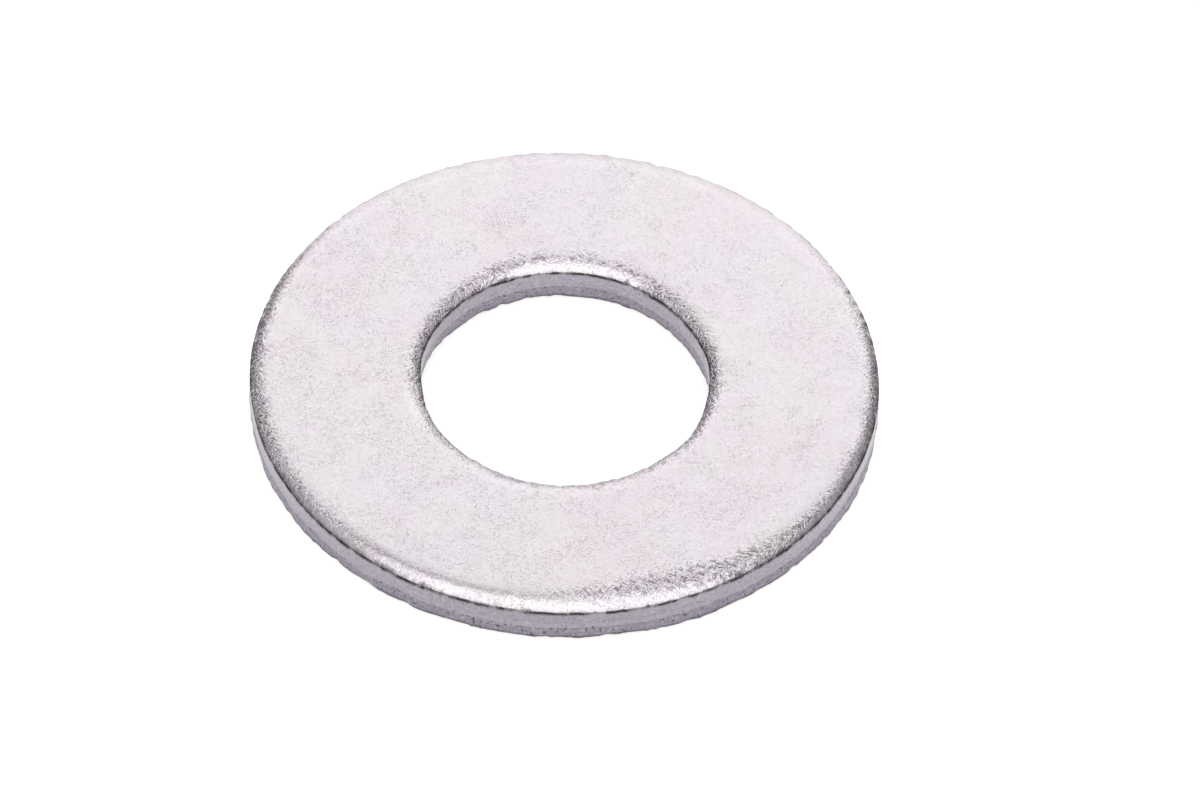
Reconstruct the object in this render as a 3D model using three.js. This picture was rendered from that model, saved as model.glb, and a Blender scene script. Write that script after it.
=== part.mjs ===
// A plain round flat washer, punched from sheet in one stroke of a compound die, then tumbled.
// Millimetres. +Z runs up along the hole's axis, and the origin is on that axis in the plane of the underside.
// The face that the punch draws down, with both rolled edges on it, is the top one.
import * as THREE from "three";

// The three sizes that a washer is ordered by.
const OUTSIDE_DIAMETER = 19.05; // 3/4 in
const HOLE_DIAMETER = 8.73; // 11/32 in, for a 5/16 in or 8 mm bolt
const THICKNESS = 1.27; // 0.050 in

// What the die leaves on each cut edge, from the top face down: the metal that was drawn over the edge,
// a straight band that the die burnished, and below it a torn band that leans away from the cut.
const RIM_CUT = {
  rollWidth: 0.9,
  rollDepth: 0.19,
  burnishedHeight: 0.55,
  tornLean: 0.015,
};
const HOLE_CUT = {
  rollWidth: 0.8,
  rollDepth: 0.18,
  burnishedHeight: 0.5,
  tornLean: 0.03,
};
const CREST_SLOPE = 0.75; // how steeply the rolled surface meets the straight band, as drop over run
const TUMBLED_RADIUS = 0.05; // the rounding that tumbling leaves on the lower edges

const SEGMENTS_ROUND = 120;
const ROLL_STEPS = 8;
const TUMBLED_STEPS = 3;

// The rolled surface leaves the flat face level and steepens to the crest as a power of the distance.
// Its exponent is what makes the slope at the crest come out as CREST_SLOPE.
function rolledPoints({ rollWidth, rollDepth }) {
  const exponent = (CREST_SLOPE * rollWidth) / rollDepth;
  return Array.from({ length: ROLL_STEPS + 1 }, (_, step) => {
    const share = step / ROLL_STEPS;
    return [rollWidth * (1 - share), THICKNESS - rollDepth * share ** exponent];
  });
}

// A quarter round from the torn band to the underside, limited by the torn band's own height.
function tumbledPoints({ tornLean }, tornHeight) {
  const radius = Math.min(TUMBLED_RADIUS, tornHeight);
  return Array.from({ length: TUMBLED_STEPS + 1 }, (_, step) => {
    const turn = (step / TUMBLED_STEPS) * (Math.PI / 2);
    return [tornLean + radius * (1 - Math.cos(turn)), radius * (1 - Math.sin(turn))];
  });
}

// One cut edge from the top face to the underside, as [distance into the metal from the cut line, height].
function cutEdge(cut) {
  const tornHeight = THICKNESS - cut.rollDepth - cut.burnishedHeight;
  return [...rolledPoints(cut), [0, tornHeight], ...tumbledPoints(cut, tornHeight)];
}

// The closed outline on one side of the axis: down the rim, then up the hole's wall and back across the top.
function outline() {
  const rim = cutEdge(RIM_CUT).map(([inward, z]) => [OUTSIDE_DIAMETER / 2 - inward, z]);
  const wall = cutEdge(HOLE_CUT).map(([outward, z]) => [HOLE_DIAMETER / 2 + outward, z]);
  const loop = [...wall, ...rim.reverse()];
  return [...loop, loop[0]].map(([radius, z]) => new THREE.Vector2(radius, z));
}

// Bright steel, the one material of the piece.
function steel() {
  return new THREE.MeshStandardMaterial({ color: 0xd9d4d6, roughness: 0.35, metalness: 1 });
}

// The washer itself, a ring turned round the axis of the hole.
function washerRing() {
  const geometry = new THREE.LatheGeometry(outline(), SEGMENTS_ROUND);
  geometry.rotateX(Math.PI / 2); // LatheGeometry turns about +Y
  const ring = new THREE.Mesh(geometry, steel());
  ring.name = "washer_ring";
  return ring;
}

const washer = new THREE.Group();
washer.add(washerRing());

export default washer;
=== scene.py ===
# A plain flat washer of bright stamped steel, on a pale studio floor.
# Metres, in the CAD frame: +Z up along the hole's axis, the underside at Z = 0, the rolled edges on top.
# The washer's outline and relief are worked out in millimetres, and scaled when the mesh is made.
import math
from collections import namedtuple
from functools import reduce

import bpy
import numpy as np
from mathutils import Matrix, Vector


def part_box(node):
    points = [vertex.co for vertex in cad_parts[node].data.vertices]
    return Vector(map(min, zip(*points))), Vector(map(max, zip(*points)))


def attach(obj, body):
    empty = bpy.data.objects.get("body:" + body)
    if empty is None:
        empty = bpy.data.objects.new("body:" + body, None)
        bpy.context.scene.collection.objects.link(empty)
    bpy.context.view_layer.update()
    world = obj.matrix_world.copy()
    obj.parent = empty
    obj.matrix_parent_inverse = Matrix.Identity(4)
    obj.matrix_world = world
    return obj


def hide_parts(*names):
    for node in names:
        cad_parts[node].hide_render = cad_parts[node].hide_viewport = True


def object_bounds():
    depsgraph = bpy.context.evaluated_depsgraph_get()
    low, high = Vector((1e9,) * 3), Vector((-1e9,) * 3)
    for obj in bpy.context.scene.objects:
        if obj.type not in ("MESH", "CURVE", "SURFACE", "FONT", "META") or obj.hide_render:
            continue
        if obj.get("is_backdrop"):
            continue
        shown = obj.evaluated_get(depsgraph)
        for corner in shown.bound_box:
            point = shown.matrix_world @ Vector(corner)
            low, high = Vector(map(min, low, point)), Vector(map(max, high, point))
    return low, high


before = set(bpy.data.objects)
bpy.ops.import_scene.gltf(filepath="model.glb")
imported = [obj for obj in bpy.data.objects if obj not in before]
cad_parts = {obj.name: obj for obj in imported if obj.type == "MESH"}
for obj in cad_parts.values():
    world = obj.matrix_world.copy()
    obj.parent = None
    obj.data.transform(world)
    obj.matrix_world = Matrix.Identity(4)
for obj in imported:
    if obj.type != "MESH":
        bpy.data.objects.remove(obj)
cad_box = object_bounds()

NODE = "washer_ring"
MM = 0.001
SEED = 5

# ---------------------------------------------------------------- sizes, in millimetres

low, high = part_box(NODE)
RIM_RADIUS = high.x / MM
THICKNESS = (high.z - low.z) / MM
HOLE_RADIUS = min(math.hypot(v.co.x, v.co.y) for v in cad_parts[NODE].data.vertices) / MM
MIDDLE_RADIUS = (RIM_RADIUS + HOLE_RADIUS) / 2

# The two cut edges, with the CAD model's bands: the roll, the burnished band and the torn band.
# The last six entries change with the heading. Each is the amount everywhere, then what is added round some
# headings, as (degrees from +X, half the width in degrees, amount). They are
# - crinkled_from and crinkled_to: the distances in from the cut between which the drawn metal is crinkled;
# - wide_roll: how far the roll is the wide and gentle one, from 0 to 1;
# - shaded_roll_start: how much painted shade darkens the start of the roll, from 0 to 1;
# - bulge: how far the metal stands out past its circle;
# - flare: how far the foot of the wall stands out, where the blank tore late.
RIM_CUT = {
    "radius": RIM_RADIUS,
    "into_metal": -1.0,  # which way the metal lies from the cut line, as a sign on the radius
    "steps_round": 1296,
    "roll_width": 0.90,
    "roll_depth": 0.19,
    "burnished_height": 0.55,
    "torn_lean": 0.015,
    "crinkled_from": (0.22, ((-97, 30, 0.35), (-163, 14, -0.3), (-50, 9, -0.4))),
    "crinkled_to": (0.42, ((-71, 22, 0.72), (-170, 25, 0.10), (-112, 16, -0.30), (90, 50, -0.60))),
    "wide_roll": (0.0, ((-72, 22, 1.0),)),
    "shaded_roll_start": (0.0, ((90, 55, 0.30), (-90, 30, 0.10))),
    "bulge": (0.0, ()),
    "flare": (0.02, ((-35, 38, 0.07), (-85, 20, 0.03), (-152, 8, 0.03))),
}
HOLE_CUT = {
    "radius": HOLE_RADIUS,
    "into_metal": 1.0,
    "steps_round": 648,
    "roll_width": 0.80,
    "roll_depth": 0.18,
    "burnished_height": 0.50,
    "torn_lean": 0.03,
    "crinkled_from": (0.0, ((88, 34, 0.50), (140, 20, -0.3), (40, 14, -0.3))),
    "crinkled_to": (0.30, ((104, 30, 0.50), (70, 20, 0.20), (-5, 40, 0.15), (180, 35, 0.10))),
    "wide_roll": (0.0, ((95, 30, 0.6),)),
    "shaded_roll_start": (0.0, ((-100, 55, 0.26),)),
    "bulge": (0.0, ((187, 13, 0.07), (-30, 14, -0.08), (13, 10, -0.05))),
    "flare": (0.02, ()),
}
WIDE_ROLL_WIDTH = 1.25
WIDE_ROLL_EXPONENT = 3.0
SHADED_ROLL_WIDTH = 0.60  # how far in from the cut the painted shade at the start of the roll fades out
CREST_SLOPE = 0.75  # the roll's slope where it meets the crest
CREST_RADIUS = 0.03
LIP_HEIGHT = 0.032  # a shallow groove just under the crest, where the rolled metal tore from the wall
LIP_DEPTH = 0.010
TUMBLED_RADIUS = 0.05  # the rounding of the lower edge
MIDDLE_GAP = 0.3  # the band in the middle of each face where the two halves of the mesh meet
STRAND_SLANT = 0.9  # how far the drawn metal's strands lean round the ring, per length in from the cut
STRAND_SQUEEZE = 0.5  # how far apart two points along a strand count as being, as a share of their distance

# How a cut strays from its plain outline. A wave is (height, length round the ring).
WANDER_WAVES = ((0.018, 4.5), (0.010, 1.4))
CREST_WAVES = ((0.016, 0.35), (0.012, 0.12))
DRAG_WAVES = ((0.0015, 0.10),)
TORN_TOP_WAVES = ((0.05, 1.1), (0.02, 0.3))
FOOT_WAVES = ((0.025, 1.3),)
CREST_NOTCHES = {"spacing": 1.6, "width": 0.09, "depth": 0.048}
NOTCH_WIDTHS = (0.5, 1.6)  # shares of the width and of the depth that single notches have
NOTCH_DEPTHS = (0.3, 1.0)
TEAR_FADE_POWER = 12  # how fast the crest's tears fade out up the roll
CHIP_WAVES = ((0.5, 0.9), (0.6, 0.28))  # here a height of 1 is a full chip
CHIP_NOTCHES = {"spacing": 3.0, "width": 0.16, "depth": 1.0}
CHIP_INWARD = 0.045  # how far a full chip in the lower edge reaches into the wall
CHIP_UPWARD = 0.025  # and up from the underside
CRINKLE_HEIGHT = 0.004
CRINKLE_LENGTH = 0.20
TORN_GRAIN_HEIGHT = 0.014
TORN_GRAIN_LENGTH = 0.25
PIT_SPACING = 1.3
PIT_HEIGHTS = (0.12, 0.85)  # shares of the thickness
PIT_SIZES = (0.025, 0.06)
PIT_DEPTHS = (0.01, 0.035)

# Rows of vertices along the outline of one cut edge.
FACE_ROWS = 5
ROLL_ROWS = 17
CREST_ROWS = 4
CREST_FADE_ROWS = 5  # the rows at the start of the roll over which the crest's painted dark shade fades
CREST_FADE_POWER = 7
LIP_ROWS = 2
BURNISHED_ROWS = 6
TORN_ROWS = 9
TUMBLED_ROWS = 4
UNDERSIDE_ROWS = 5
# Powers that bring a stretch's rows closer together towards the cut.
FACE_ROW_POWER = 1.6
ROLL_ROW_POWER = 0.8
UNDERSIDE_ROW_POWER = 2
UV_MARGIN = 0.01  # the gap round each quarter of the ring in the UV map, as a share of the quarter's square

# One row of vertices: its distance into the metal from the cut line, its height, the outward and the upward
# part of its normal, and how much of each band it is in.
Row = namedtuple(
    "Row", "inward height normal_out normal_up roll crest burnished torn ragged", defaults=[0.0] * 5)


# ---------------------------------------------------------------- noise round the ring

def column(values):
    """One value for each row, ready to be combined with one value for each step round."""
    return values[:, None]


def ease(share):
    """Smooths a share from 0 to 1 so that it starts and ends level."""
    return share * share * (3 - 2 * share)


def ring_noise(rng, turns, alongs, cells_round, cells_along):
    """Smooth random values from -1 to 1 on rows by turns. They close on themselves round the ring."""
    lattice = rng.uniform(-1.0, 1.0, (cells_along + 2, cells_round))
    place_round = turns * cells_round
    cell = np.floor(place_round).astype(int)
    across = ease(place_round - cell)[None, :]
    left = cell % cells_round
    right = (cell + 1) % cells_round
    place_along = np.clip(alongs, 0.0, 1.0) * cells_along
    below = np.floor(place_along).astype(int)
    up = column(ease(place_along - below))
    near = lattice[below][:, left] * (1 - across) + lattice[below][:, right] * across
    far = lattice[below + 1][:, left] * (1 - across) + lattice[below + 1][:, right] * across
    return near * (1 - up) + far * up


def rough_noise(rng, turns, alongs, cells_round, cells_along, octaves):
    """ring_noise at several scales, each half the size and half the height of the one before."""
    total = 0.0
    for octave in range(octaves):
        scale = 2 ** octave
        total = total + ring_noise(rng, turns, alongs, cells_round * scale, cells_along * scale) / scale
    return total / 1.5


def circumference(cut):
    """The length of a cut edge, round the ring."""
    return 2 * math.pi * cut["radius"]


def count_round(cut, size):
    """How many cells of about that size go round a cut edge."""
    return max(8, round(circumference(cut) / size))


def distance_round(cut, turns, place):
    """How far each heading is from one place round a cut edge, with both given in turns."""
    return ((turns - place + 0.5) % 1.0 - 0.5) * circumference(cut)


def line_noise(rng, cut, turns, size):
    """Smooth random values from -1 to 1 round a cut edge, in cells of about that size."""
    return ring_noise(rng, turns, np.zeros(1), count_round(cut, size), 1)


def wave_line(rng, cut, turns, waves):
    """Smooth random heights round a cut edge, added up from its waves."""
    return sum(height * line_noise(rng, cut, turns, length) for height, length in waves)


def notch_line(rng, cut, turns, spacing, width, depth):
    """A line of small notches at random places round a cut edge: 0 between them, up to depth in them."""
    line = np.zeros_like(turns)
    for _ in range(count_round(cut, spacing)):
        place = rng.random()
        notch_width = width * rng.uniform(*NOTCH_WIDTHS)
        notch_depth = depth * rng.uniform(*NOTCH_DEPTHS)
        away = distance_round(cut, turns, place)
        line = np.maximum(line, notch_depth * np.exp(-(away / notch_width) ** 2))
    return line


def by_heading(size, degrees):
    """A size that changes with the heading, at each of the headings given."""
    everywhere, places = size
    total = np.full(degrees.shape, float(everywhere))
    for middle, half_width, extra in places:
        away = (degrees - middle + 180) % 360 - 180
        total += extra * np.exp(-(away / half_width) ** 2)
    return total


# ---------------------------------------------------------------- the outline of one cut edge

def crest_inset():
    """How far in from the cut the crest's rounding meets the roll."""
    return CREST_RADIUS * (1 - math.sin(math.atan(CREST_SLOPE)))


def roll_exponent(cut):
    """The power that the roll's drop follows, so that it ends at the crest's slope."""
    return CREST_SLOPE * (cut["roll_width"] - crest_inset()) / cut["roll_depth"]


def roll_drop(cut, inward, width, exponent):
    """How far below the top face a roll of that width is, at those distances in from the cut."""
    share = np.clip(1 - (inward - crest_inset()) / (width - crest_inset()), 0.0, 1.0)
    return cut["roll_depth"] * share ** exponent


def half_face(cut):
    """How far each flat face reaches in from the cut, to where the two halves of the mesh meet."""
    return abs(cut["radius"] - MIDDLE_RADIUS) - MIDDLE_GAP / 2


def lower_rows(cut, torn_top):
    """The rows from the middle of the underside, round the lower edge and up the torn band."""
    rows = []
    lean = cut["torn_lean"]
    underside_start = lean + TUMBLED_RADIUS
    for row in range(UNDERSIDE_ROWS):
        share = (1 - row / UNDERSIDE_ROWS) ** UNDERSIDE_ROW_POWER
        inward = underside_start + (half_face(cut) - underside_start) * share
        rows.append(Row(inward, 0, 0, -1, ragged=0.3))
    for row in range(TUMBLED_ROWS):
        turn = math.pi / 2 * row / (TUMBLED_ROWS - 1)
        inward = lean + TUMBLED_RADIUS * (1 - math.sin(turn))
        height = TUMBLED_RADIUS * (1 - math.cos(turn))
        rows.append(Row(inward, height, math.sin(turn), -math.cos(turn), torn=0.7, ragged=1))
    for row in range(1, TORN_ROWS):
        share = row / TORN_ROWS
        height = TUMBLED_RADIUS + (torn_top - TUMBLED_RADIUS) * share
        rows.append(Row(lean * (1 - share), height, 1, 0, torn=1, ragged=1 - share))
    return rows


def wall_rows(torn_top, wall_top):
    """The rows up the burnished band, the lip's groove and the crest's rounding."""
    rows = []
    crest_angle = math.atan(CREST_SLOPE)
    lip_bottom = wall_top - LIP_HEIGHT
    for row in range(BURNISHED_ROWS):
        share = row / BURNISHED_ROWS
        rows.append(Row(0, torn_top + (lip_bottom - torn_top) * share, 1, 0, burnished=1))
    for row in range(LIP_ROWS):
        share = (row + 0.5) / LIP_ROWS
        rows.append(Row(LIP_DEPTH, lip_bottom + LIP_HEIGHT * share, 1, 0, crest=1))
    for row in range(CREST_ROWS):
        angle = math.pi / 2 - (math.pi / 2 - crest_angle) * row / CREST_ROWS
        inward = CREST_RADIUS * (1 - math.sin(angle))
        height = wall_top + CREST_RADIUS * math.cos(angle)
        rows.append(Row(inward, height, math.sin(angle), math.cos(angle), roll=0.8, crest=1))
    return rows


def top_rows(cut):
    """The rows up the roll and over the top face to its middle."""
    rows = []
    width = cut["roll_width"]
    exponent = roll_exponent(cut)
    for row in range(ROLL_ROWS):
        share = (1 - row / ROLL_ROWS) ** ROLL_ROW_POWER
        slope = CREST_SLOPE * share ** (exponent - 1)
        length = math.hypot(1, slope)
        inward = crest_inset() + (width - crest_inset()) * (1 - share)
        height = THICKNESS - cut["roll_depth"] * share ** exponent
        crest = max(0.0, 1 - row / CREST_FADE_ROWS) ** CREST_FADE_POWER
        rows.append(Row(inward, height, slope / length, 1 / length, roll=share, crest=crest))
    for row in range(FACE_ROWS):
        share = (row / (FACE_ROWS - 1)) ** FACE_ROW_POWER
        rows.append(Row(width + (half_face(cut) - width) * share, THICKNESS, 0, 1))
    return rows


def edge_rows(cut):
    """One cut edge from the middle of the underside, round the edge, to the middle of the top.

    It is a Row whose entries are arrays, with one value for each row of vertices."""
    wall_top = THICKNESS - cut["roll_depth"] - CREST_RADIUS * math.cos(math.atan(CREST_SLOPE))
    torn_top = wall_top - cut["burnished_height"]
    rows = lower_rows(cut, torn_top) + wall_rows(torn_top, wall_top) + top_rows(cut)
    return Row(*np.array(rows, float).T)


def wall_pits(cut, rows, turns, rng):
    """How deep the small pits are that lie here and there in the wall."""
    depth = 0.0
    for _ in range(count_round(cut, PIT_SPACING)):
        place = rng.random()
        pit_height = rng.uniform(*PIT_HEIGHTS) * THICKNESS
        pit_size = rng.uniform(*PIT_SIZES)
        pit_depth = rng.uniform(*PIT_DEPTHS)
        away = distance_round(cut, turns, place)[None, :]
        distance_squared = away ** 2 + column(rows.height - pit_height) ** 2
        depth = depth + pit_depth * np.exp(-distance_squared / pit_size ** 2)
    return column(np.maximum(rows.burnished, rows.torn)) * depth


def relief(cut, rows, turns, rng):
    """How far each point of one cut edge stands off the plain outline, as (outward, upward)."""
    degrees = turns * 360

    # The whole cut wanders a little from a true circle.
    wander = wave_line(rng, cut, turns, WANDER_WAVES) + by_heading(cut["bulge"], degrees)
    near_cut = np.maximum.reduce([rows.crest, rows.burnished, rows.torn, rows.ragged, rows.roll ** 2])
    outward = column(near_cut) * wander

    # Where the roll is wide and gentle, the top lies lower between the crest and the face.
    on_top = rows.height > THICKNESS - cut["roll_depth"]
    plain = roll_drop(cut, rows.inward, cut["roll_width"], roll_exponent(cut))
    wide = roll_drop(cut, rows.inward, WIDE_ROLL_WIDTH, WIDE_ROLL_EXPONENT)
    upward = column((plain - wide) * on_top) * by_heading(cut["wide_roll"], degrees)

    # The rolled metal is crinkled, and its crest is torn here and there.
    across_roll = rows.inward / cut["roll_width"]
    crinkle = rough_noise(
        rng, turns, across_roll, count_round(cut, CRINKLE_LENGTH), cells_along=6, octaves=2)
    along_normal = CRINKLE_HEIGHT * column(rows.roll) * crinkle
    tear = wave_line(rng, cut, turns, CREST_WAVES) + notch_line(rng, cut, turns, **CREST_NOTCHES)
    upward = upward - column(np.maximum(rows.crest, rows.roll ** TEAR_FADE_POWER)) * tear

    # The die's drag lines run up the burnished band. The torn band below it is rough and its top is uneven.
    along_normal = along_normal + column(rows.burnished) * wave_line(rng, cut, turns, DRAG_WAVES)
    torn_top = wave_line(rng, cut, turns, TORN_TOP_WAVES)
    upward = upward + column(rows.torn * (1 - rows.ragged) ** 0.5) * torn_top
    up_wall = rows.height / THICKNESS
    grain = rough_noise(
        rng, turns, up_wall, count_round(cut, TORN_GRAIN_LENGTH), cells_along=8, octaves=3)
    along_normal = along_normal + TORN_GRAIN_HEIGHT * column(rows.torn) * (grain - 0.5)

    # The foot flares out, and its edge is chipped. Chips only take metal away, so that nothing reaches below
    # the underside.
    chips = sum(height * np.abs(line_noise(rng, cut, turns, length)) for height, length in CHIP_WAVES)
    chips = chips + notch_line(rng, cut, turns, **CHIP_NOTCHES)
    foot = by_heading(cut["flare"], degrees) + wave_line(rng, cut, turns, FOOT_WAVES)
    in_wall = rows.torn > 0
    lower_edge = column(rows.ragged ** 2 * in_wall)
    outward = outward + column(rows.ragged * in_wall) * foot
    outward = outward - CHIP_INWARD * lower_edge * chips
    upward = upward + CHIP_UPWARD * lower_edge * chips

    along_normal = along_normal - wall_pits(cut, rows, turns, rng)
    outward = outward + along_normal * column(rows.normal_out)
    upward = upward + along_normal * column(rows.normal_up)
    return outward, upward


# ---------------------------------------------------------------- the mesh

def edge_grid(cut, rng):
    """The points of one cut edge as an array of rows by steps round by (x, y, z), and its rows."""
    rows = edge_rows(cut)
    turns = np.arange(cut["steps_round"]) / cut["steps_round"]
    outward, upward = relief(cut, rows, turns, rng)
    radius = cut["radius"] + cut["into_metal"] * (column(rows.inward) - outward)
    height = column(rows.height) + upward
    angle = 2 * math.pi * turns[None, :]
    return np.stack([radius * np.cos(angle), radius * np.sin(angle), height], axis=-1), rows


def washer_mesh(name):
    """The whole washer as one closed mesh, with its bands as attributes and a packed UV map."""
    rng = np.random.default_rng(SEED)
    rim_points, rim = edge_grid(RIM_CUT, rng)
    hole_points, hole = edge_grid(HOLE_CUT, rng)
    # The outline goes on over the top and down the hole's wall.
    hole_points = hole_points[::-1]
    hole = Row(*(values[::-1] for values in hole))
    points = np.concatenate([rim_points.reshape(-1, 3), hole_points.reshape(-1, 3)])

    lines = []
    first = 0
    for grid in (rim_points, hole_points):
        for _ in range(len(grid)):
            lines.append((first, grid.shape[1]))
            first += grid.shape[1]
    faces, places = outline_faces(lines, outline_lengths(rim, hole))

    mesh = bpy.data.meshes.new(name)
    mesh.from_pydata((points * MM).tolist(), [], faces)
    uv_map = mesh.uv_layers.new(name="OFBake")
    uv_map.data.foreach_set("uv", np.array(places, np.float32).ravel())
    add_band_attributes(mesh, points, rim, hole)
    mesh.shade_smooth()
    return mesh


def outline_lengths(rim, hole):
    """How far along the whole closed outline each row lies, from 0 at the first to 1 back at the first."""
    profile = [(RIM_RADIUS - inward, height) for inward, height in zip(rim.inward, rim.height)]
    profile += [(HOLE_RADIUS + inward, height) for inward, height in zip(hole.inward, hole.height)]
    profile.append(profile[0])
    lengths = np.cumsum([0.0] + [math.dist(a, b) for a, b in zip(profile, profile[1:])])
    return lengths / lengths[-1]


def outline_faces(lines, lengths):
    """The faces between each row and the next, and the UV place of each of their corners.

    The lines are the rows of the whole outline, as (index of first vertex, steps round)."""
    faces = []
    places = []
    for index, line in enumerate(lines):
        next_line = lines[(index + 1) % len(lines)]
        common = min(line[1], next_line[1])
        for step in range(common):
            for face in band_corners(line, next_line, step):
                faces.append([vertex for vertex, _, _ in face])
                for _, side, turn in face:
                    places.append(atlas_place(step / common, turn, lengths[index + side]))
    return faces, places


def band_corners(line, next_line, step):
    """The faces between two rows at one step, as lists of (vertex, 0 or 1 for which row, turn).

    Where one row has twice the steps of the other, the step is three triangles in place of one quad."""
    start, steps = line
    next_start, next_steps = next_line
    common = min(steps, next_steps)
    after = step + 1
    turn = step / common
    half_turn = (step + 0.5) / common
    next_turn = after / common
    if steps == next_steps:
        return [[
            (start + step, 0, turn),
            (start + after % steps, 0, next_turn),
            (next_start + after % steps, 1, next_turn),
            (next_start + step, 1, turn),
        ]]
    if steps > next_steps:
        fine = [
            (start + 2 * step, 0, turn),
            (start + 2 * step + 1, 0, half_turn),
            (start + 2 * after % steps, 0, next_turn),
        ]
        coarse = [(next_start + step, 1, turn), (next_start + after % next_steps, 1, next_turn)]
        return [
            [fine[0], fine[1], coarse[0]],
            [fine[1], coarse[1], coarse[0]],
            [fine[1], fine[2], coarse[1]],
        ]
    fine = [
        (next_start + 2 * step, 1, turn),
        (next_start + 2 * step + 1, 1, half_turn),
        (next_start + 2 * after % next_steps, 1, next_turn),
    ]
    coarse = [(start + step, 0, turn), (start + after % steps, 0, next_turn)]
    return [
        [fine[1], fine[0], coarse[0]],
        [fine[1], coarse[0], coarse[1]],
        [fine[2], fine[1], coarse[1]],
    ]


def atlas_place(face_turn, turn, along):
    """Where a corner lies in the UV map: the ring is cut into quarters, laid two by two."""
    quarter = int(face_turn * 4)
    across = UV_MARGIN + (turn * 4 - quarter) * (1 - 2 * UV_MARGIN)
    up = UV_MARGIN + along * (1 - 2 * UV_MARGIN)
    return (quarter % 2 + across) / 2, (quarter // 2 + up) / 2


def at_vertices(of_rim, of_hole):
    """One value for each vertex, from one for each row of the rim's half and of the hole's."""
    return np.concatenate([
        np.repeat(of_rim, RIM_CUT["steps_round"]),
        np.repeat(of_hole, HOLE_CUT["steps_round"]),
    ])


def add_band_attributes(mesh, points, rim, hole):
    """Says at each vertex how much of each band it is in, and how its strands lie."""
    at = Row(*(at_vertices(of_rim, of_hole) for of_rim, of_hole in zip(rim, hole)))
    on_rim = at_vertices(np.full(len(rim.inward), True), np.full(len(hole.inward), False))
    on_top = at.height > THICKNESS / 2
    heading = np.arctan2(points[:, 1], points[:, 0])
    varied = {
        name: np.where(
            on_rim,
            by_heading(RIM_CUT[name], np.degrees(heading)),
            by_heading(HOLE_CUT[name], np.degrees(heading)),
        )
        for name in ("crinkled_from", "crinkled_to", "shaded_roll_start")
    }
    bands = {
        "inward": np.where(on_top, at.inward, MIDDLE_RADIUS),
        "crinkled_from": varied["crinkled_from"],
        "crinkled_to": varied["crinkled_to"],
        "crest": at.crest,
        "shaded_roll_start": varied["shaded_roll_start"] * np.clip(1 - at.inward / SHADED_ROLL_WIDTH, 0, 1) * on_top,
        "burnished": at.burnished,
        "torn": at.torn,
        "ragged": np.where(at.torn > 0, at.ragged, 0),
    }
    for name, values in bands.items():
        attribute = mesh.attributes.new(name, "FLOAT", "POINT")
        attribute.data.foreach_set("value", values.astype(np.float32))

    # Coordinates that are stretched along the strands, for strands that lean either way.
    nominal = np.where(on_rim, RIM_RADIUS, HOLE_RADIUS)
    for name, slant in (("leaning_left", STRAND_SLANT), ("leaning_right", -STRAND_SLANT)):
        turned = heading + slant * at.inward / nominal
        stretched = np.stack([
            np.cos(turned) * nominal,
            np.sin(turned) * nominal,
            (at.inward + at.height) * STRAND_SQUEEZE,
        ], axis=-1)
        attribute = mesh.attributes.new(name, "FLOAT_VECTOR", "POINT")
        attribute.data.foreach_set("vector", stretched.astype(np.float32).ravel())


# ---------------------------------------------------------------- materials

class Shader:
    """A material's node tree, with short ways to add its nodes."""

    def __init__(self, name):
        self.material = bpy.data.materials.new(name)
        self.material.use_nodes = True
        self.tree = self.material.node_tree
        self.surface = self.tree.nodes["Principled BSDF"]

    def node(self, kind, settings=None, **inputs):
        """A new node. Its inputs are named with underscores for spaces."""
        made = self.tree.nodes.new(kind)
        for key, value in (settings or {}).items():
            setattr(made, key, value)
        for key, value in inputs.items():
            self.put(made.inputs[key.replace("_", " ")], value)
        return made

    def put(self, socket, value):
        """Links another node's output to a socket, or sets the socket to a plain value."""
        if isinstance(value, bpy.types.NodeSocket):
            self.tree.links.new(value, socket)
        else:
            socket.default_value = value

    def set_surface(self, name, value):
        self.put(self.surface.inputs[name], value)

    def maths(self, operation, first, second=0.0):
        made = self.node("ShaderNodeMath", {"operation": operation})
        self.put(made.inputs[0], first)
        self.put(made.inputs[1], second)
        return made.outputs[0]

    def times(self, *values):
        return reduce(lambda a, b: self.maths("MULTIPLY", a, b), values)

    def plus(self, *values):
        return reduce(lambda a, b: self.maths("ADD", a, b), values)

    def ramp(self, value, low_in, high_in, low_out=0.0, high_out=1.0):
        """A smooth step from low_out to high_out as the value goes from low_in to high_in."""
        made = self.node("ShaderNodeMapRange", {"interpolation_type": "SMOOTHSTEP"})
        for key, number in (("Value", value), ("From Min", low_in), ("From Max", high_in),
                            ("To Min", low_out), ("To Max", high_out)):
            self.put(made.inputs[key], number)
        return made.outputs[0]

    def noise(self, vector, scale, detail, distortion=0.0):
        sockets = {"Vector": vector, "Scale": scale, "Detail": detail, "Distortion": distortion}
        return self.node("ShaderNodeTexNoise", **sockets).outputs["Fac"]

    def mix(self, share, first, second):
        """The first colour where the share is 0, and the second where it is 1."""
        made = self.node("ShaderNodeMix", {"data_type": "RGBA"})
        self.put(made.inputs["Factor"], share)
        self.put(made.inputs[6], first)
        self.put(made.inputs[7], second)
        return made.outputs[2]

    def attribute(self, name, output="Fac"):
        return self.node("ShaderNodeAttribute", {"attribute_name": name}).outputs[output]

    def object_place(self):
        return self.node("ShaderNodeTexCoord").outputs["Object"]

    def along(self, vector, direction):
        """How far the vector goes in a direction."""
        made = self.node("ShaderNodeVectorMath", {"operation": "DOT_PRODUCT"})
        self.put(made.inputs[0], vector)
        self.put(made.inputs[1], direction)
        return made.outputs["Value"]

    def scaled(self, vector, factor):
        made = self.node("ShaderNodeVectorMath", {"operation": "MULTIPLY"})
        self.put(made.inputs[0], vector)
        self.put(made.inputs[1], factor)
        return made.outputs[0]


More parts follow.
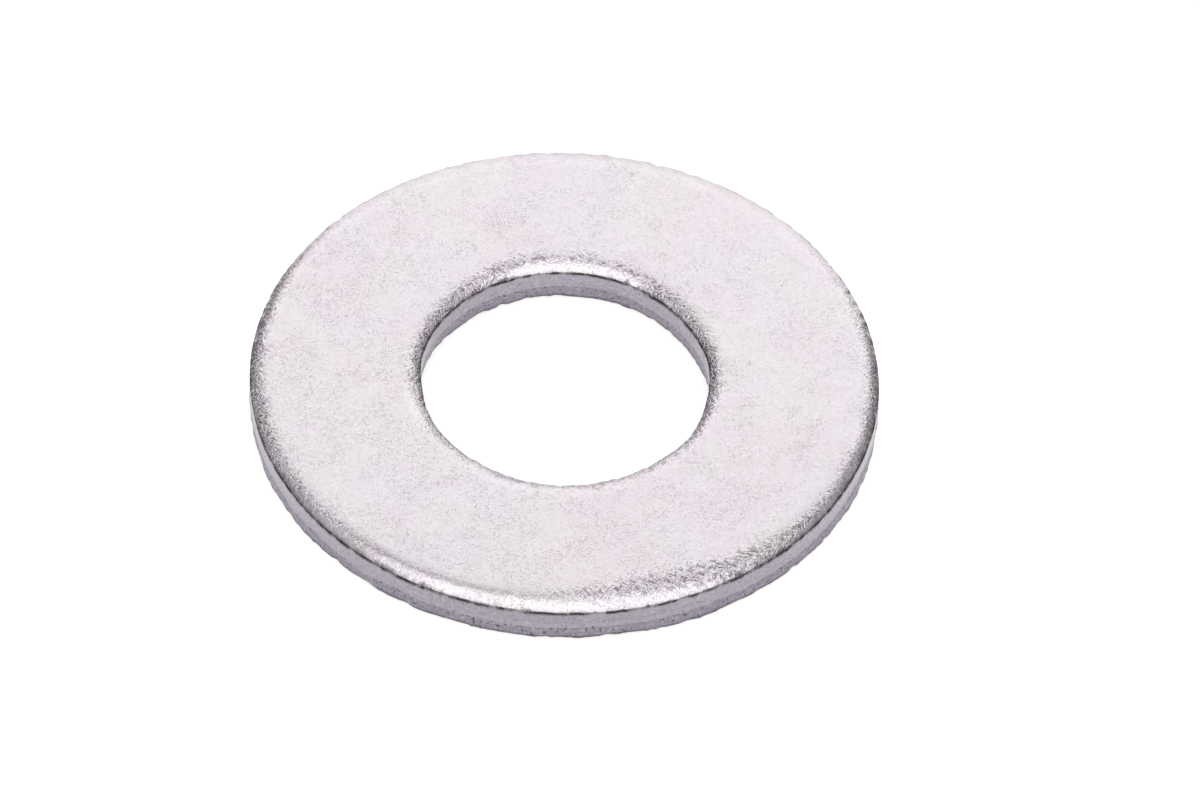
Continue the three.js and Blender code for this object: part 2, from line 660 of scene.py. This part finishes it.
STEEL_LILAC = (0.625, 0.583, 0.621, 1)
STEEL_PINK = (0.626, 0.573, 0.600, 1)
STEEL_CREAM = (0.625, 0.592, 0.600, 1)
# The dark of the face's specks, and the dark of the painted shade in the crinkles' valleys.
SPECK_AND_VALLEY_SHADE = (0.315, 0.28, 0.30, 1)
# The wall's steel: darker partly because cut metal is, and partly as painted shade for the shaded floor that
# the wall reflects.
WALL_LILAC = (0.37, 0.33, 0.39, 1)
WALL_GREY = (0.355, 0.335, 0.375, 1)
WALL_GRIT = (0.54, 0.505, 0.56, 1)
TORN_STEEL = (0.275, 0.25, 0.30, 1)
# The dark that every painted shade on the steel goes towards.
PAINTED_SHADE_DARK = (0.04, 0.03, 0.04, 1)
# How strongly each mark's colour, painted shade among them, covers the steel where the mark is fullest.
SPECK_SHARE = 0.34
VALLEY_SHADE_SHARE = 0.94
GRIT_SHARE = 0.5
PIT_SHADE_SHARE = 0.35
TORN_PIT_SHADE_SHARE = 0.45
FOOT_SHADE_SHARE = 0.6

# The tumbled face's roughness, and what is added to it where the metal is drawn and where it is torn.
TUMBLED_SMOOTHEST = 0.27
TUMBLED_ROUGHEST = 0.30
DRAWN_ROUGHNESS = -0.08
TORN_ROUGHNESS = 0.14

# Heights of the relief that is too fine for the mesh, in millimetres.
TUMBLED_RELIEF = 0.0047
SCUFF_RELIEF = -0.0022
DENT_RELIEF = -0.0078
CRINKLE_RELIEF = 0.012
TORN_RELIEF = 0.02
BURNISHED_RELIEF = 0.008


def steel_masks(shader):
    """The places and shares that the steel's colour, roughness and relief are made from."""
    times, plus, ramp, noise = shader.times, shader.plus, shader.ramp, shader.noise
    place = shader.object_place()
    millimetres = shader.scaled(place, (1 / MM, 1 / MM, 1 / MM))
    names = ("inward", "crinkled_from", "crinkled_to", "crest", "shaded_roll_start", "burnished", "torn", "ragged")
    masks = {name: shader.attribute(name) for name in names}
    masks["place"] = place
    masks["millimetres"] = millimetres
    masks["leaning_left"] = shader.attribute("leaning_left", "Vector")
    masks["leaning_right"] = shader.attribute("leaning_right", "Vector")
    masks["wall"] = shader.maths("MAXIMUM", masks["burnished"], masks["torn"])

    # How crinkled the drawn metal is, between two lines round the ring that wander.
    wander = times(plus(noise(millimetres, 1.2, 3.0), -0.5), 0.6)
    past_end = shader.maths("SUBTRACT", masks["inward"], plus(masks["crinkled_to"], wander))
    past_start = shader.maths("SUBTRACT", masks["inward"], plus(masks["crinkled_from"], times(wander, 0.5)))
    masks["drawn"] = times(ramp(past_end, -0.25, 0.20, 1.0, 0.0), ramp(past_start, -0.12, 0.12, 0.15, 1.0))

    # The crinkles are two sets of strands that cross.
    left_strands = ramp(noise(masks["leaning_left"], 9.5, 1.0, 0.6), 0.42, 0.64)
    right_strands = ramp(noise(masks["leaning_right"], 9.5, 1.0, 0.6), 0.42, 0.64)
    masks["crinkle"] = shader.maths("MAXIMUM", left_strands, right_strands)

    # Patches of the tumbled surface are more marked than others.
    patches = plus(noise(millimetres, 0.9, 3.0, 0.8), shader.along(millimetres, (-0.005, -0.005, 0)))
    masks["marked"] = ramp(patches, 0.40, 0.64, 0.40, 0.86)
    return masks


def steel_colour(shader, masks):
    """Lilac steel with pink, cream and dark specks, a wall darker as cut metal and by painted shade, and
    painted shade in the crinkles, pits, crest, roll start and foot.
    """
    times, plus, ramp, noise = shader.times, shader.plus, shader.ramp, shader.noise
    place, millimetres = masks["place"], masks["millimetres"]
    wall, torn = masks["wall"], masks["torn"]

    pink = ramp(noise(millimetres, 0.45, 1.5, 0.6), 0.40, 0.64)
    cream = ramp(noise(shader.scaled(place, (-1 / MM, 1 / MM, 0.7 / MM)), 0.40, 1.5, 0.6), 0.44, 0.66)
    colour = shader.mix(pink, STEEL_LILAC, STEEL_PINK)
    colour = shader.mix(cream, colour, STEEL_CREAM)
    speck = ramp(noise(millimetres, 17.0, 1.0, 0.3), 0.60, 0.72)
    colour = shader.mix(times(speck, masks["marked"], SPECK_SHARE), colour, SPECK_AND_VALLEY_SHADE)
    # Painted shade: the valleys between the drawn metal's crinkled strands are darkened towards the dark
    # speck colour.
    valley_shade = times(ramp(masks["crinkle"], 0.0, 0.5, 1.0, 0.0), masks["drawn"])
    colour = shader.mix(times(valley_shade, VALLEY_SHADE_SHARE), colour, SPECK_AND_VALLEY_SHADE)

    # The wall's colour, which is partly painted shade.
    wall_colour = shader.mix(ramp(noise(millimetres, 0.9, 3.0), 0.4, 0.6), WALL_LILAC, WALL_GREY)
    colour = shader.mix(wall, colour, wall_colour)
    torn_grain = ramp(noise(millimetres, 7.0, 4.0, 0.5), 0.3, 0.7, 0.6, 1.0)
    colour = shader.mix(times(torn, torn_grain), colour, TORN_STEEL)
    grit = ramp(noise(millimetres, 9.0, 3.0, 0.2), 0.52, 0.70)
    colour = shader.mix(times(grit, wall, GRIT_SHARE), colour, WALL_GRIT)
    # Painted shade: dark spots in the wall and the torn band, for the shade in their pits.
    pit_shade = ramp(noise(shader.scaled(place, (0.9 / MM, 1.1 / MM, 1 / MM)), 11.0, 3.0, 0.2), 0.57, 0.68)
    pit_shade_share = plus(times(wall, PIT_SHADE_SHARE), times(torn, TORN_PIT_SHADE_SHARE))
    colour = shader.mix(times(pit_shade, pit_shade_share), colour, PAINTED_SHADE_DARK)

    # Painted shade along the crest and the lip's groove under it, patchy round the ring.
    shade_patches = ramp(noise(masks["leaning_left"], 3.0, 3.0), 0.36, 0.58, 0.50, 1.0)
    colour = shader.mix(times(masks["crest"], shade_patches), colour, PAINTED_SHADE_DARK)
    # Painted shade over the start of the roll, stronger at some headings.
    colour = shader.mix(times(masks["shaded_roll_start"], shade_patches), colour, PAINTED_SHADE_DARK)
    # Painted shade along the foot of the wall, where it meets the floor.
    foot = ramp(masks["ragged"], 0.75, 1.0)
    return shader.mix(times(foot, FOOT_SHADE_SHARE), colour, PAINTED_SHADE_DARK)


def steel_roughness(shader, masks):
    """Satin, a little smoother where the metal is rolled or drawn, and rougher where it is torn."""
    worn_noise = shader.noise(masks["millimetres"], 2.3, 3.0, 0.6)
    worn = shader.ramp(worn_noise, 0.3, 0.7, TUMBLED_SMOOTHEST, TUMBLED_ROUGHEST)
    rolled = shader.ramp(masks["inward"], 0.30, 0.62, 1.0, 0.0)
    drawn = shader.times(shader.maths("MAXIMUM", rolled, masks["drawn"]), DRAWN_ROUGHNESS)
    return shader.plus(worn, drawn, shader.times(masks["torn"], TORN_ROUGHNESS))


def steel_relief(shader, masks):
    """The tumbled surface, its dents and scratches, and the drawn metal's crinkles, in millimetres."""
    times, plus, ramp, noise = shader.times, shader.plus, shader.ramp, shader.noise
    millimetres, marked = masks["millimetres"], masks["marked"]
    tumbled = times(noise(millimetres, 15.0, 1.5, 0.4), marked, TUMBLED_RELIEF)
    ridge = shader.maths("ABSOLUTE", plus(noise(millimetres, 4.5, 1.0, 1.5), -0.5))
    scuffs = times(ramp(ridge, 0.0, 0.07, SCUFF_RELIEF, 0.0), marked)
    dents = times(ramp(noise(millimetres, 13.0, 0.5, 1.0), 0.61, 0.69, 0.0, DENT_RELIEF), marked)
    crinkles = times(masks["crinkle"], masks["drawn"], CRINKLE_RELIEF)
    torn_relief = times(noise(millimetres, 9.0, 4.0, 0.3), masks["torn"], TORN_RELIEF)
    burnished_relief = times(noise(millimetres, 8.0, 3.0, 0.3), masks["burnished"], BURNISHED_RELIEF)
    return plus(tumbled, scuffs, dents, crinkles, torn_relief, burnished_relief)


def steel_material():
    """Tumbled stainless steel, with a crinkled roll, a burnished band and a torn one."""
    shader = Shader("stamped_steel")
    masks = steel_masks(shader)
    bump = shader.node("ShaderNodeBump", Strength=1.0, Distance=MM, Height=steel_relief(shader, masks))
    shader.set_surface("Base Color", steel_colour(shader, masks))
    shader.set_surface("Roughness", steel_roughness(shader, masks))
    shader.set_surface("Metallic", 1.0)
    shader.set_surface("Normal", bump.outputs[0])
    return shader.material


FLOOR_DARK = (0.695, 0.695, 0.69, 1)
FLOOR_LIGHT = (0.71, 0.71, 0.705, 1)
FLOOR_GLOW = 0.62


def floor_material():
    """A matt white light table with a faint tooth."""
    shader = Shader("light_table")
    tooth = shader.noise(shader.object_place(), 900.0, 3.0)
    shader.set_surface("Base Color", shader.mix(tooth, FLOOR_DARK, FLOOR_LIGHT))
    shader.set_surface("Roughness", 0.9)
    shader.set_surface("Emission Color", (1, 1, 1, 1))
    shader.set_surface("Emission Strength", FLOOR_GLOW)
    return shader.material


# ---------------------------------------------------------------- the pieces

washer = bpy.data.objects.new("washer", washer_mesh("washer"))
bpy.context.scene.collection.objects.link(washer)
washer.data.materials.append(steel_material())
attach(washer, "root")
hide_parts(NODE)

# ---------------------------------------------------------------- the studio, in metres

bpy.ops.mesh.primitive_circle_add(vertices=96, radius=4.0, fill_type="NGON")
floor = bpy.context.object
floor.name = "floor"
floor.data.materials.append(floor_material())
floor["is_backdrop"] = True


def towards(azimuth, elevation, distance):
    """A place at that distance from the washer. Azimuth 0 is along +Y, and it grows towards +X."""
    turn, rise = math.radians(azimuth), math.radians(elevation)
    flat = distance * math.cos(rise)
    return (flat * math.sin(turn), flat * math.cos(turn), distance * math.sin(rise))


def soft_panel(name, place, width, height, radiance, shape="RECTANGLE"):
    """A soft light that faces the washer. Its power is what makes it look that bright."""
    light = bpy.data.lights.new(name, "AREA")
    light.shape = shape
    light.size, light.size_y = width, height
    area = width * height * (math.pi / 4 if shape == "ELLIPSE" else 1)
    light.energy = radiance * math.pi * area
    panel = bpy.data.objects.new(name, light)
    panel.location = place
    panel.rotation_euler = (-Vector(place)).to_track_quat("-Z", "Y").to_euler()
    panel.visible_camera = False
    bpy.context.scene.collection.objects.link(panel)


soft_panel("overhead", towards(180, 85.5, 1.5), width=1.6, height=1.46, radiance=1.62, shape="ELLIPSE")
soft_panel("behind", towards(2.75, 28, 1.5), width=1.49, height=1.6, radiance=1.29)
soft_panel("front", towards(180, 30, 1.6), width=3.2, height=1.0, radiance=0.95)
soft_panel("left", towards(-72, 48, 1.5), width=1.1, height=0.7, radiance=0.34)
soft_panel("right", towards(72, 48, 1.5), width=1.1, height=0.7, radiance=0.25)

WORLD_COLOUR = (1.0, 0.98, 1.04, 1)
WORLD_AT_HORIZON = 0.14
WORLD_ABOVE = 0.32
WORLD_FULL_RISE = 0.85  # the sine of the elevation from which it is at its brightest


def studio_world():
    """Dim light from all round, dimmer towards the horizon."""
    made = bpy.data.worlds.new("studio")
    made.use_nodes = True
    tree = made.node_tree
    heading = tree.nodes.new("ShaderNodeTexCoord")
    parts = tree.nodes.new("ShaderNodeSeparateXYZ")
    rise = tree.nodes.new("ShaderNodeMapRange")
    rise.inputs["From Max"].default_value = WORLD_FULL_RISE
    rise.inputs["To Min"].default_value = WORLD_AT_HORIZON
    rise.inputs["To Max"].default_value = WORLD_ABOVE
    tree.links.new(heading.outputs["Generated"], parts.inputs[0])
    tree.links.new(parts.outputs["Z"], rise.inputs["Value"])
    tree.links.new(rise.outputs[0], tree.nodes["Background"].inputs["Strength"])
    tree.nodes["Background"].inputs["Color"].default_value = WORLD_COLOUR
    return made


bpy.context.scene.world = studio_world()
bpy.context.scene.view_settings.view_transform = "Standard"

# ---------------------------------------------------------------- the camera

SENSOR_WIDTH = 36.0  # millimetres, as the lens is
LENS = 307.4
ELEVATION = math.radians(47.23)
ROLL = math.radians(2.12)
DISTANCE = 0.310  # metres, as the two below are
ASIDE = 0.00108  # how far the washer's middle lies left of the picture's
ABOVE = 0.00082  # and above it


def studio_camera():
    """A long lens from the front and above, tipped a little to the left."""
    forward = Vector((0, math.cos(ELEVATION), -math.sin(ELEVATION)))
    level_right = Vector((1, 0, 0))
    level_down = Vector((0, -math.sin(ELEVATION), -math.cos(ELEVATION)))
    right = math.cos(ROLL) * level_right - math.sin(ROLL) * level_down
    down = math.sin(ROLL) * level_right + math.cos(ROLL) * level_down
    place = Vector((0, 0, THICKNESS * MM)) + ASIDE * right + ABOVE * down - DISTANCE * forward
    data = bpy.data.cameras.new("camera")
    data.sensor_width = SENSOR_WIDTH
    data.lens = LENS
    data.clip_start, data.clip_end = 0.01, 20.0
    camera = bpy.data.objects.new("camera", data)
    camera.matrix_world = Matrix.Translation(place) @ Matrix((right, -down, -forward)).transposed().to_4x4()
    bpy.context.scene.collection.objects.link(camera)
    return camera


bpy.context.scene.camera = studio_camera()

visual_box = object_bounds()
boxes = {"cad": cad_box, "visual": visual_box}
{name: [list(corner) for corner in box] for name, box in boxes.items()}
